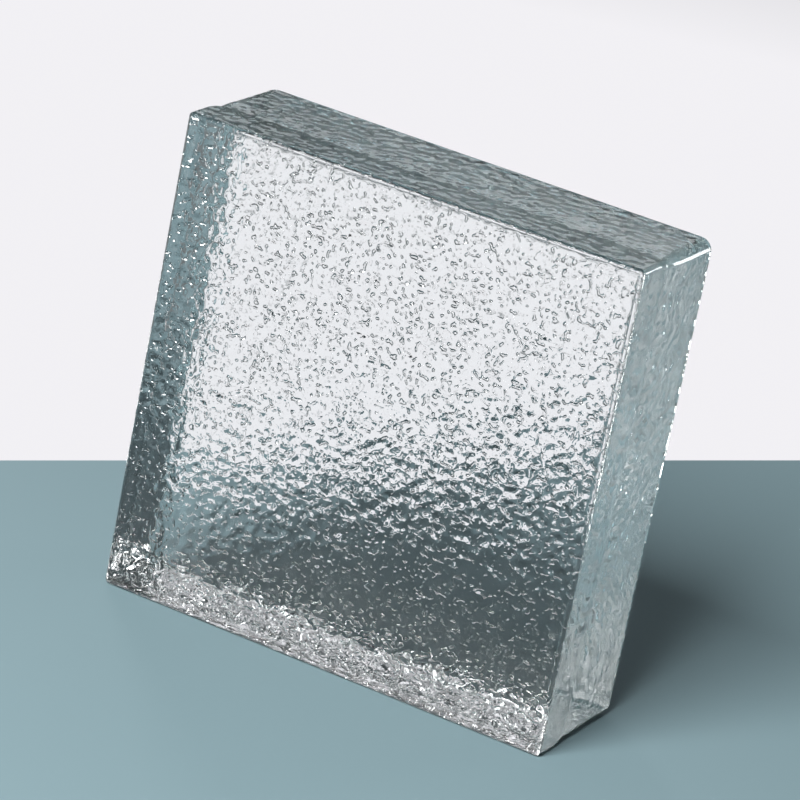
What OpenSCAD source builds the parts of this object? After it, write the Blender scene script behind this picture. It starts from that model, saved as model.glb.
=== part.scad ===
// Solid cast glass block, one piece. X is the width, Y the depth with the front face towards -Y, Z is up.
// The origin is the middle of the underside. Lengths are in millimetres.
// The front band and the rear body were shaped by two parts of a mould: their sides lie in the same planes
// and run out into a shallow groove where the two parts met.

/* [Block] */
// Width of the block
block_w = 190; // [120:1:300]
// Height of the block
block_h = 190; // [120:1:300]
// Depth of the block, from the front face to the back face
block_d = 60; // [45:1:120]

/* [Edges] */
// Fillet around the front face
front_edge_r = 1.5; // [0.5:0.25:1.75]
// Fillet around the back face
back_edge_r = 3.5; // [1:0.5:4.5]
// Radius of the four corner edges of the front band
front_corner_r = 2; // [2:0.5:15]
// Radius of the four corner edges of the rear body
rear_corner_r = 5; // [5:0.5:20]

/* [Parting groove] */
// Distance of the groove from the front face
groove_from_front = 20; // [12:0.5:40]
// Depth of the groove below the sides
groove_depth = 0.6; // [0.2:0.1:1.5]
// Length over which the front band runs out into the groove
front_run = 7; // [4:0.5:15]
// Length over which the rear body runs out into the groove
rear_run = 11; // [4:0.5:25]

/* [Hidden] */
$fn = 96;
// Facets of a run-out arc, which is a short stretch of a large circle
run_out_fn = 720;
// The turn of one corner edge
quarter = 90;
// Where the four corner edges stand, as signs of x and z, in the order in which they turn about Y
corner_signs = [[1, -1], [-1, -1], [-1, 1], [1, 1]];

// Radius of an arc that leaves a side without a kink and falls to the groove over the length run
function run_out_r(run) = (run * run + groove_depth * groove_depth) / (2 * groove_depth);

// Half of a band's section: x reaches out to the side, y goes from the band's face into the block.
// The side is flat, then runs out in an arc that goes on past the groove, inside the other band.
module half_section(reach, edge_r, flat, run) {
    arc_r = run_out_r(run);
    deep = flat + 2 * run;
    intersection() {
        square([reach, deep]);
        union() {
            translate([0, edge_r]) square([reach, deep - edge_r]);
            square([reach - edge_r, deep]);
            translate([reach - edge_r, edge_r]) circle(edge_r);
        }
        union() {
            square([reach, flat]);
            if (reach > arc_r) square([reach - arc_r, deep]);
            translate([reach - arc_r, flat]) circle(arc_r, $fn = run_out_fn);
        }
    }
}

// Section right across a band
module full_section(size, edge_r, flat, run) {
    half_section(size / 2, edge_r, flat, run);
    mirror([1, 0]) half_section(size / 2, edge_r, flat, run);
}

// A band of the block, its face at y = 0 and its depth towards +Y, centred on x and z: two crossing bars
// with the section of the straight sides, and the same section turned around each corner edge
module band(corner_r, edge_r, flat, run) {
    straight_w = block_w - 2 * corner_r;
    straight_h = block_h - 2 * corner_r;
    rotate([0, 90, 0])
        linear_extrude(straight_w, center = true)
            full_section(block_h, edge_r, flat, run);
    linear_extrude(straight_h, center = true)
        full_section(block_w, edge_r, flat, run);
    for (i = [0 : len(corner_signs) - 1])
        translate([corner_signs[i][0] * straight_w / 2, 0, corner_signs[i][1] * straight_h / 2])
            rotate([-90, 0, 0])
                rotate(i * quarter)
                    rotate_extrude(angle = quarter)
                        half_section(corner_r, edge_r, flat, run);
}

module front_band() {
    band(front_corner_r, front_edge_r, groove_from_front - front_run, front_run);
}

module rear_body() {
    rear_flat = block_d - groove_from_front - rear_run;
    translate([0, block_d, 0])
        mirror([0, 1, 0])
            band(rear_corner_r, back_edge_r, rear_flat, rear_run);
}

module glass_block() {
    color([0.86, 0.93, 0.93, 0.6])
        translate([0, -block_d / 2, block_h / 2]) {
            front_band();
            rear_body();
        }
}

glass_block();
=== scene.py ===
"""A solid cast glass block with hammered front and back faces, standing on a plain pale table.

The block is modelled from two rounded slabs, the front band and the rear body, bridged across the parting
groove. The hammered relief is real geometry. The material adds small pips on the front face, which are finer
than the mesh, and faint waves on every face but the two ends.
"""
import bmesh
import bpy
import math
from mathutils import Matrix, Vector


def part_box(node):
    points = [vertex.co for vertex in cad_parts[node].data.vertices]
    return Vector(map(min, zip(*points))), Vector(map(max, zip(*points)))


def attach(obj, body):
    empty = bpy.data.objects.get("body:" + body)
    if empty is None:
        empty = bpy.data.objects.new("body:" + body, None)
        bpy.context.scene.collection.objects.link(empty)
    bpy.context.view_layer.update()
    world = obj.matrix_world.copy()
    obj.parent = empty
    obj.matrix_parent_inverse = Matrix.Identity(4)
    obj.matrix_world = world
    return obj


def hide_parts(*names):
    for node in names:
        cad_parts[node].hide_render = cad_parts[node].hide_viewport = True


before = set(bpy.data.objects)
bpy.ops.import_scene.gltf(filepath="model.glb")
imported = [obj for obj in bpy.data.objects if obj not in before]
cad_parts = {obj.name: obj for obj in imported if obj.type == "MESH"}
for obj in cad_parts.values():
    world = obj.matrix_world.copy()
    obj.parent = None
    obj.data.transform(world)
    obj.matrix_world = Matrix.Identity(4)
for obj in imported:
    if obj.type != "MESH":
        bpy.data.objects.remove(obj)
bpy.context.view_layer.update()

# Section of the block, in metres, the same as in the part's source
FRONT_EDGE_R = 0.0015
BACK_EDGE_R = 0.0035
FRONT_CORNER_R = 0.002
REAR_CORNER_R = 0.005
GROOVE_FROM_FRONT = 0.020
GROOVE_DEPTH = 0.0006
FRONT_RUN = 0.007
REAR_RUN = 0.011

# How finely the mesh is cut: the corner edges, the two fillets, each half of a long side and the groove.
# An edge longer than this share of the block's width is half of a long side.
CORNER_STEPS = 6
FRONT_EDGE_STEPS = 4
BACK_EDGE_STEPS = 6
HALF_SIDE_CUTS = 92
HALF_SIDE_SHARE = 0.25
GROOVE_STEP = 0.0015
ROUND_PROFILE = 0.5

# Hammered relief: size of a hammer mark, its noise octaves, depth from the highest to the lowest point, rim
# left plain, and how far large faces outweigh small ones in the smooth normals
HAMMER_SIZE = 0.0019
HAMMER_OCTAVES = 1
HAMMER_DEPTH = 0.0014
PLAIN_RIM = 0.001
NORMAL_WEIGHT = 100

# Pips of the front face: they rise where a noise goes from PIP_FOOT to PIP_TOP of its range, and fade out
# over PIP_FADE behind the deepest hammer mark
PIP_SIZE = 0.0017
PIP_HEIGHT = 0.0004
PIP_FOOT = 0.58
PIP_TOP = 0.82
PIP_FADE = 0.000375

# Faint waves, which fade out over WAVE_FADE before they reach the groove's depth at the two ends
WAVE_SIZE = 0.0035
WAVE_HEIGHT = 0.0005
WAVE_FADE = 0.0006

# Glass: surface colour, refractive index, tint and how much of it a metre of glass takes out
GLASS_COLOUR = (1, 1, 1, 1)
GLASS_IOR = 1.5
GLASS_TINT = (0.80, 0.93, 0.92, 1)
GLASS_DENSITY = 2.0

# Camera of the photograph: where it looks from, its roll, and where the block's middle lies in its frame
CAMERA_AZIMUTH = math.radians(25.18)
CAMERA_ELEVATION = math.radians(19.83)
CAMERA_ROLL = math.radians(11.43)
CAMERA_DISTANCE = 1.696
CAMERA_LENS = 206
MIDDLE_RIGHT = 0.00081
MIDDLE_DOWN = 0.00563

# Table, just clear of the block: its rear edge is cut across so that it lies level in the rolled picture
TABLE_GAP = 0.0002
TABLE_EDGE_ANGLE = math.radians(55.07)
TABLE_EDGE_BEHIND = 0.1775
TABLE_REACH = 8.0
TABLE_COLOUR = (0.34, 0.50, 0.55, 1)
TABLE_ROUGHNESS = 0.7

# Backdrop: an upright grey arc around the block, with a white zone that fades out over these stretches of X
# and Z, and a white arc higher up. Azimuths are those of a camera that looks at the arc past the block.
BACKDROP_AWAY = 2.5
BACKDROP_FACETS = 96
BACKDROP_WHITE = (0.885, 0.875, 0.905, 1)
BACKDROP_GREY = (0.16, 0.175, 0.18, 1)
LOW_ARC = (math.radians(-40), math.radians(130))
LOW_ARC_LOW = -1.3
LOW_ARC_HIGH = 0.1
FADE_LEFT = (-1.45, -1.8)
FADE_RIGHT = (-0.62, -0.3)
FADE_UP = (-0.4, 0.1)
HIGH_ARC = (math.radians(10), math.radians(40))
HIGH_ARC_LOW = 1.03
HIGH_ARC_HIGH = 1.7

# A dim room, one large soft lamp in front of the block, and three small ones behind it that make its edges
# and hammer marks glint. Each lamp has a name, a place, a width in metres and a power in watts.
ROOM_COLOUR = (0.03, 0.034, 0.036, 1)
LAMPS = (
    ("softbox", Vector((-0.1, -1.4, 1.4)), 1.0, 40),
    ("right_glint", Vector((0.70, 1.32, 0.2)), 0.3, 2),
    ("left_glint", Vector((-1.007, 0.973, 0.4)), 0.25, 1.8),
    ("low_glint", Vector((-1.483, 0.599, -0.49)), 0.2, 1.4),
)

# Enough bounces for light that goes to and fro inside the block
BOUNCES = 32
GLOSSY_BOUNCES = 24

TOLERANCE = 1e-6


def block_box():
    """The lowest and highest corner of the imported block."""
    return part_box("glass_block")


def deselect_all():
    """Leaves nothing selected."""
    bpy.ops.object.select_all(action="DESELECT")


def pick(piece):
    """Selects one piece alone and makes it the active one."""
    deselect_all()
    piece.select_set(True)
    bpy.context.view_layer.objects.active = piece


def edit(piece):
    """Opens one piece in edit mode."""
    pick(piece)
    bpy.ops.object.mode_set(mode="EDIT")


def select_edges(piece, wanted):
    """In edit mode, selects only the edges for which wanted(first end, second end) is true."""
    mesh = bmesh.from_edit_mesh(piece.data)
    bpy.ops.mesh.select_mode(type="EDGE")
    bpy.ops.mesh.select_all(action="DESELECT")
    for edge in mesh.edges:
        edge.select_set(wanted(edge.verts[0].co, edge.verts[1].co))
    mesh.select_flush_mode()
    bmesh.update_edit_mesh(piece.data)


def select_faces(piece, wanted):
    """In edit mode, selects only the faces for which wanted(face) is true."""
    mesh = bmesh.from_edit_mesh(piece.data)
    bpy.ops.mesh.select_mode(type="FACE")
    bpy.ops.mesh.select_all(action="DESELECT")
    for face in mesh.faces:
        face.select_set(wanted(face))
    mesh.select_flush_mode()
    bmesh.update_edit_mesh(piece.data)


def in_plane(depth):
    """A test for edges that lie in the plane across the block at that depth."""
    return lambda a, b: abs(a.y - depth) < TOLERANCE and abs(b.y - depth) < TOLERANCE


def face_in_plane(face, depth):
    """Whether a whole face lies in the plane across the block at that depth."""
    return all(abs(vertex.co.y - depth) < TOLERANCE for vertex in face.verts)


def rounded_slab(name, low, high, corner_r, face_depth, edge_r, edge_steps, open_depth):
    """A slab with round corner edges and a filleted outer face, left open at that face and its inner side."""
    deselect_all()
    bpy.ops.mesh.primitive_cube_add(size=1, location=(low + high) / 2)
    slab = bpy.context.object
    slab.name = name
    slab.scale = high - low
    bpy.ops.object.transform_apply(location=True, rotation=True, scale=True)
    edit(slab)
    select_edges(slab, lambda a, b: abs(a.y - b.y) > TOLERANCE)
    bpy.ops.mesh.bevel(offset=corner_r, segments=CORNER_STEPS, profile=ROUND_PROFILE, affect="EDGES")
    select_edges(slab, in_plane(face_depth))
    bpy.ops.mesh.bevel(offset=edge_r, segments=edge_steps, profile=ROUND_PROFILE, affect="EDGES")
    select_faces(slab, lambda face: face_in_plane(face, face_depth) or face_in_plane(face, open_depth))
    bpy.ops.mesh.delete(type="ONLY_FACE")
    bpy.ops.object.mode_set(mode="OBJECT")
    return slab


def run_out(run, past):
    """How far a side has fallen at that length past the start of its run-out into the groove."""
    radius = (run ** 2 + GROOVE_DEPTH ** 2) / (2 * GROOVE_DEPTH)
    return radius - math.sqrt(radius ** 2 - past ** 2)


def glass_block():
    """The block's smooth form: two slabs bridged across the groove, with a fine grid on its big faces."""
    low, high = block_box()
    size = high - low
    middle = (low + high) / 2
    groove = low.y + GROOVE_FROM_FRONT
    band_end = groove - FRONT_RUN
    body_start = groove + REAR_RUN
    band = rounded_slab("glass_block_form", low, Vector((high.x, band_end, high.z)), FRONT_CORNER_R,
                        low.y, FRONT_EDGE_R, FRONT_EDGE_STEPS, band_end)
    body = rounded_slab("rear_body", Vector((low.x, body_start, low.z)), high, REAR_CORNER_R,
                        high.y, BACK_EDGE_R, BACK_EDGE_STEPS, body_start)
    pick(band)
    body.select_set(True)
    bpy.ops.object.join()
    block = bpy.context.object

    # The two open loops are bridged, and each new loop sinks into the groove
    edit(block)
    band_loop = in_plane(band_end)
    body_loop = in_plane(body_start)
    select_edges(block, lambda a, b: band_loop(a, b) or body_loop(a, b))
    loops = round((body_start - band_end) / GROOVE_STEP) - 1
    bpy.ops.mesh.bridge_edge_loops(number_cuts=loops, interpolation="LINEAR")
    for i in range(1, loops + 1):
        depth = band_end + (body_start - band_end) * i / (loops + 1)
        if depth <= groove:
            sink = run_out(FRONT_RUN, depth - band_end)
        else:
            sink = run_out(REAR_RUN, body_start - depth)
        select_edges(block, in_plane(depth))
        shrink = (1 - 2 * sink / size.x, 1, 1 - 2 * sink / size.z)
        bpy.ops.transform.resize(value=shrink, center_override=(middle.x, depth, middle.z))

    # The long sides are halved and cut finely, then the open faces are filled with a grid
    for across in ((1, 0, 0), (0, 0, 1)):
        bpy.ops.mesh.select_all(action="SELECT")
        bpy.ops.mesh.bisect(plane_co=middle, plane_no=across)
    select_edges(block, lambda a, b: (a - b).length > size.x * HALF_SIDE_SHARE)
    bpy.ops.mesh.subdivide(number_cuts=HALF_SIDE_CUTS)
    for face_depth in (low.y, high.y):
        fill_face(block, face_depth)
    bpy.ops.mesh.select_all(action="SELECT")
    bpy.ops.mesh.normals_make_consistent(inside=False)
    bpy.ops.object.mode_set(mode="OBJECT")
    bpy.ops.object.shade_smooth()
    return block


def fill_face(block, depth):
    """Fills the open loop at that depth with a square grid whose corners lie on the round corner edges."""
    select_edges(block, in_plane(depth))
    mesh = bmesh.from_edit_mesh(block.data)
    loop = [vertex for vertex in mesh.verts if vertex.select]
    corner = max(loop, key=lambda vertex: vertex.co.x + vertex.co.z)
    mesh.select_history.clear()
    mesh.select_history.add(corner)
    bmesh.update_edit_mesh(block.data)
    bpy.ops.mesh.fill_grid(span=len(loop) // 4, offset=0)


def apply_modifier(piece, modifier):
    """Makes a modifier's result the piece's own mesh."""
    pick(piece)
    bpy.ops.object.modifier_apply(modifier=modifier.name)


def hammer(block):
    """Sinks hammer marks into the front and back faces, fading out over a plain rim at their edges."""
    low, high = block_box()
    faces = ((low.y, FRONT_EDGE_R), (high.y, BACK_EDGE_R))
    marked = block.vertex_groups.new(name="hammered")
    for vertex in block.data.vertices:
        place = vertex.co
        for depth, edge_r in faces:
            if abs(place.y - depth) < TOLERANCE:
                rim = min(place.x - low.x, high.x - place.x, place.z - low.z, high.z - place.z) - edge_r
                marked.add([vertex.index], min(max(rim / PLAIN_RIM, 0), 1), "REPLACE")
    marks = bpy.data.textures.new("hammer_marks", "CLOUDS")
    marks.noise_scale = HAMMER_SIZE
    marks.noise_depth = HAMMER_OCTAVES

    # A middle level of 1 keeps the highest points at the face, so that the marks only sink
    sink = block.modifiers.new("hammer", "DISPLACE")
    sink.texture = marks
    sink.texture_coords = "LOCAL"
    sink.vertex_group = marked.name
    sink.strength = HAMMER_DEPTH
    sink.mid_level = 1
    apply_modifier(block, sink)
    even = block.modifiers.new("even_normals", "WEIGHTED_NORMAL")
    even.weight = NORMAL_WEIGHT
    apply_modifier(block, even)


def new_material(name):
    """A material with Blender's own first nodes."""
    material = bpy.data.materials.new(name)
    material.use_nodes = True
    return material


def add_node(material, kind, inputs, **settings):
    """Adds a node with those settings. An input is linked where it is given a socket, and set otherwise."""
    node = material.node_tree.nodes.new(kind)
    for name, value in settings.items():
        setattr(node, name, value)
    for name, value in inputs.items():
        if isinstance(value, bpy.types.NodeSocket):
            material.node_tree.links.new(value, node.inputs[name])
        else:
            node.inputs[name].default_value = value
    return node


def object_place(material):
    """The place on the piece, whole and split into X, Y and Z."""
    place = add_node(material, "ShaderNodeTexCoord", {}).outputs["Object"]
    split = add_node(material, "ShaderNodeSeparateXYZ", {"Vector": place})
    return place, split.outputs


def fade(material, value, start, end, **settings):
    """Goes from 0 where the value is at its start to 1 where it is at its end."""
    inputs = {"Value": value, "From Min": start, "From Max": end}
    return add_node(material, "ShaderNodeMapRange", inputs, **settings).outputs["Result"]


def plain_noise(material, place, size):
    """A noise of one octave with features of about that size."""
    inputs = {"Vector": place, "Scale": 1 / size, "Detail": 0}
    return add_node(material, "ShaderNodeTexNoise", inputs).outputs["Fac"]


def larger(material, first, second):
    """The larger of two values."""
    inputs = {0: first, 1: second}
    return add_node(material, "ShaderNodeMath", inputs, operation="MAXIMUM").outputs["Value"]


def clear_glass():
    """Clear glass with a faint tint, pips on the front face and faint waves off the two ends."""
    low, high = block_box()
    material = new_material("clear_glass")
    nodes = material.node_tree.nodes
    links = material.node_tree.links
    glass = nodes["Principled BSDF"]
    glass.inputs["Base Color"].default_value = GLASS_COLOUR
    glass.inputs["Roughness"].default_value = 0
    glass.inputs["IOR"].default_value = GLASS_IOR
    glass.inputs["Transmission Weight"].default_value = 1

    place, split = object_place(material)
    across = add_node(material, "ShaderNodeMath", {0: split["X"]}, operation="ABSOLUTE").outputs["Value"]
    groove_bottom = high.x - GROOVE_DEPTH
    waves = add_node(material, "ShaderNodeBump", {
        "Strength": fade(material, across, groove_bottom, groove_bottom - WAVE_FADE),
        "Distance": WAVE_HEIGHT,
        "Height": plain_noise(material, place, WAVE_SIZE),
    })

    deepest_mark = low.y + HAMMER_DEPTH
    pip_noise = plain_noise(material, place, PIP_SIZE)
    pips = add_node(material, "ShaderNodeBump", {
        "Strength": fade(material, split["Y"], deepest_mark + PIP_FADE, deepest_mark),
        "Distance": PIP_HEIGHT,
        "Height": fade(material, pip_noise, PIP_FOOT, PIP_TOP, interpolation_type="SMOOTHSTEP"),
        "Normal": waves.outputs["Normal"],
    })
    links.new(pips.outputs["Normal"], glass.inputs["Normal"])

    tint = add_node(material, "ShaderNodeVolumeAbsorption", {"Color": GLASS_TINT, "Density": GLASS_DENSITY})
    links.new(tint.outputs["Volume"], nodes["Material Output"].inputs["Volume"])
    return material


def pale_table():
    """The table's plain, matt surface."""
    material = new_material("pale_table")
    surface = material.node_tree.nodes["Principled BSDF"]
    surface.inputs["Base Color"].default_value = TABLE_COLOUR
    surface.inputs["Roughness"].default_value = TABLE_ROUGHNESS
    return material


def glow(material, colour):
    """Makes a material glow in a set or linked colour, at a strength at which white is white."""
    light = add_node(material, "ShaderNodeEmission", {"Color": colour, "Strength": 1})
    surface = material.node_tree.nodes["Material Output"].inputs["Surface"]
    material.node_tree.links.new(light.outputs["Emission"], surface)


def grey_backdrop():
    """Grey, with a white zone behind the block that fades out towards its top and both of its sides."""
    material = new_material("grey_backdrop")
    _, split = object_place(material)
    left = fade(material, split["X"], *FADE_LEFT)
    right = fade(material, split["X"], *FADE_RIGHT)
    top = fade(material, split["Z"], *FADE_UP)
    grey = larger(material, larger(material, left, right), top)
    blend = add_node(material, "ShaderNodeMix", {"Factor": grey, "A": BACKDROP_WHITE, "B": BACKDROP_GREY},
                     data_type="RGBA")
    glow(material, blend.outputs["Result"])
    return material


def white_panel():
    """The even white of the panel higher up."""
    material = new_material("white_panel")
    glow(material, BACKDROP_WHITE)
    return material


def table():
    """The flat top of the table, turned so that its rear edge runs across behind the block."""
    behind = Vector((-math.sin(TABLE_EDGE_ANGLE), math.cos(TABLE_EDGE_ANGLE), 0))
    middle = behind * (TABLE_EDGE_BEHIND - TABLE_REACH / 2) - Vector((0, 0, TABLE_GAP))
    deselect_all()
    bpy.ops.mesh.primitive_plane_add(size=TABLE_REACH, location=middle, rotation=(0, 0, TABLE_EDGE_ANGLE))
    plane = bpy.context.object
    plane.name = "table"
    plane.data.materials.append(pale_table())


def azimuth_of(place):
    """The azimuth of a camera that looks at that place past the block."""
    return math.atan2(-place.x, place.y)


def arc_wall(name, reach, low, high, material):
    """An upright stage wall around the block, left standing only between two camera azimuths."""
    deselect_all()
    bpy.ops.mesh.primitive_cylinder_add(vertices=BACKDROP_FACETS, radius=BACKDROP_AWAY, depth=high - low,
                                        end_fill_type="NOTHING", location=(0, 0, (low + high) / 2))
    wall = bpy.context.object
    wall.name = name
    bpy.ops.object.transform_apply(location=True, rotation=True, scale=True)
    edit(wall)
    select_faces(wall, lambda face: not reach[0] < azimuth_of(face.calc_center_median()) < reach[1])
    bpy.ops.mesh.delete(type="FACE")
    bpy.ops.object.mode_set(mode="OBJECT")
    wall.data.materials.append(material)


def soft_lamp(name, place, size, power):
    """A square area lamp that shines on the block."""
    data = bpy.data.lights.new(name, "AREA")
    data.shape = "SQUARE"
    data.size = size
    data.energy = power
    lamp = bpy.data.objects.new(name, data)
    bpy.context.scene.collection.objects.link(lamp)
    lamp.location = place
    lamp.rotation_euler = (-place).to_track_quat("-Z", "Y").to_euler()


def studio():
    """A pale table, a grey backdrop with a white zone, a white panel above it, a dim room and the lamps."""
    table()
    arc_wall("low_backdrop", LOW_ARC, LOW_ARC_LOW, LOW_ARC_HIGH, grey_backdrop())
    arc_wall("high_backdrop", HIGH_ARC, HIGH_ARC_LOW, HIGH_ARC_HIGH, white_panel())

    world = bpy.data.worlds.new("room")
    bpy.context.scene.world = world
    world.use_nodes = True
    world.node_tree.nodes["Background"].inputs["Color"].default_value = ROOM_COLOUR

    for name, place, size, power in LAMPS:
        soft_lamp(name, place, size, power)


def heading(azimuth, elevation):
    """The direction in which a camera at that azimuth and elevation looks."""
    level = math.cos(elevation)
    return Vector((-math.sin(azimuth) * level, math.cos(azimuth) * level, -math.sin(elevation)))


def main_camera():
    """The camera of the photograph, fitted to the block's edge lines."""
    low, high = block_box()
    forward = heading(CAMERA_AZIMUTH, CAMERA_ELEVATION)
    level_right = forward.cross(Vector((0, 0, 1))).normalized()
    level_up = level_right.cross(forward)
    right = level_right * math.cos(CAMERA_ROLL) + level_up * math.sin(CAMERA_ROLL)
    up = level_up * math.cos(CAMERA_ROLL) - level_right * math.sin(CAMERA_ROLL)
    data = bpy.data.cameras.new("main_camera")
    data.lens = CAMERA_LENS
    camera = bpy.data.objects.new("main_camera", data)
    bpy.context.scene.collection.objects.link(camera)
    turn = Matrix((right, up, -forward)).transposed().to_4x4()
    place = (low + high) / 2 - forward * CAMERA_DISTANCE - right * MIDDLE_RIGHT + up * MIDDLE_DOWN
    camera.matrix_world = Matrix.Translation(place) @ turn
    bpy.context.scene.camera = camera


block = glass_block()
hammer(block)
block.data.materials.append(clear_glass())
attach(block, "root")
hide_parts("glass_block")

studio()
main_camera()
scene = bpy.context.scene
scene.view_settings.view_transform = "Standard"
scene.cycles.caustics_refractive = False
scene.cycles.max_bounces = BOUNCES
scene.cycles.glossy_bounces = GLOSSY_BOUNCES
scene.cycles.transmission_bounces = BOUNCES
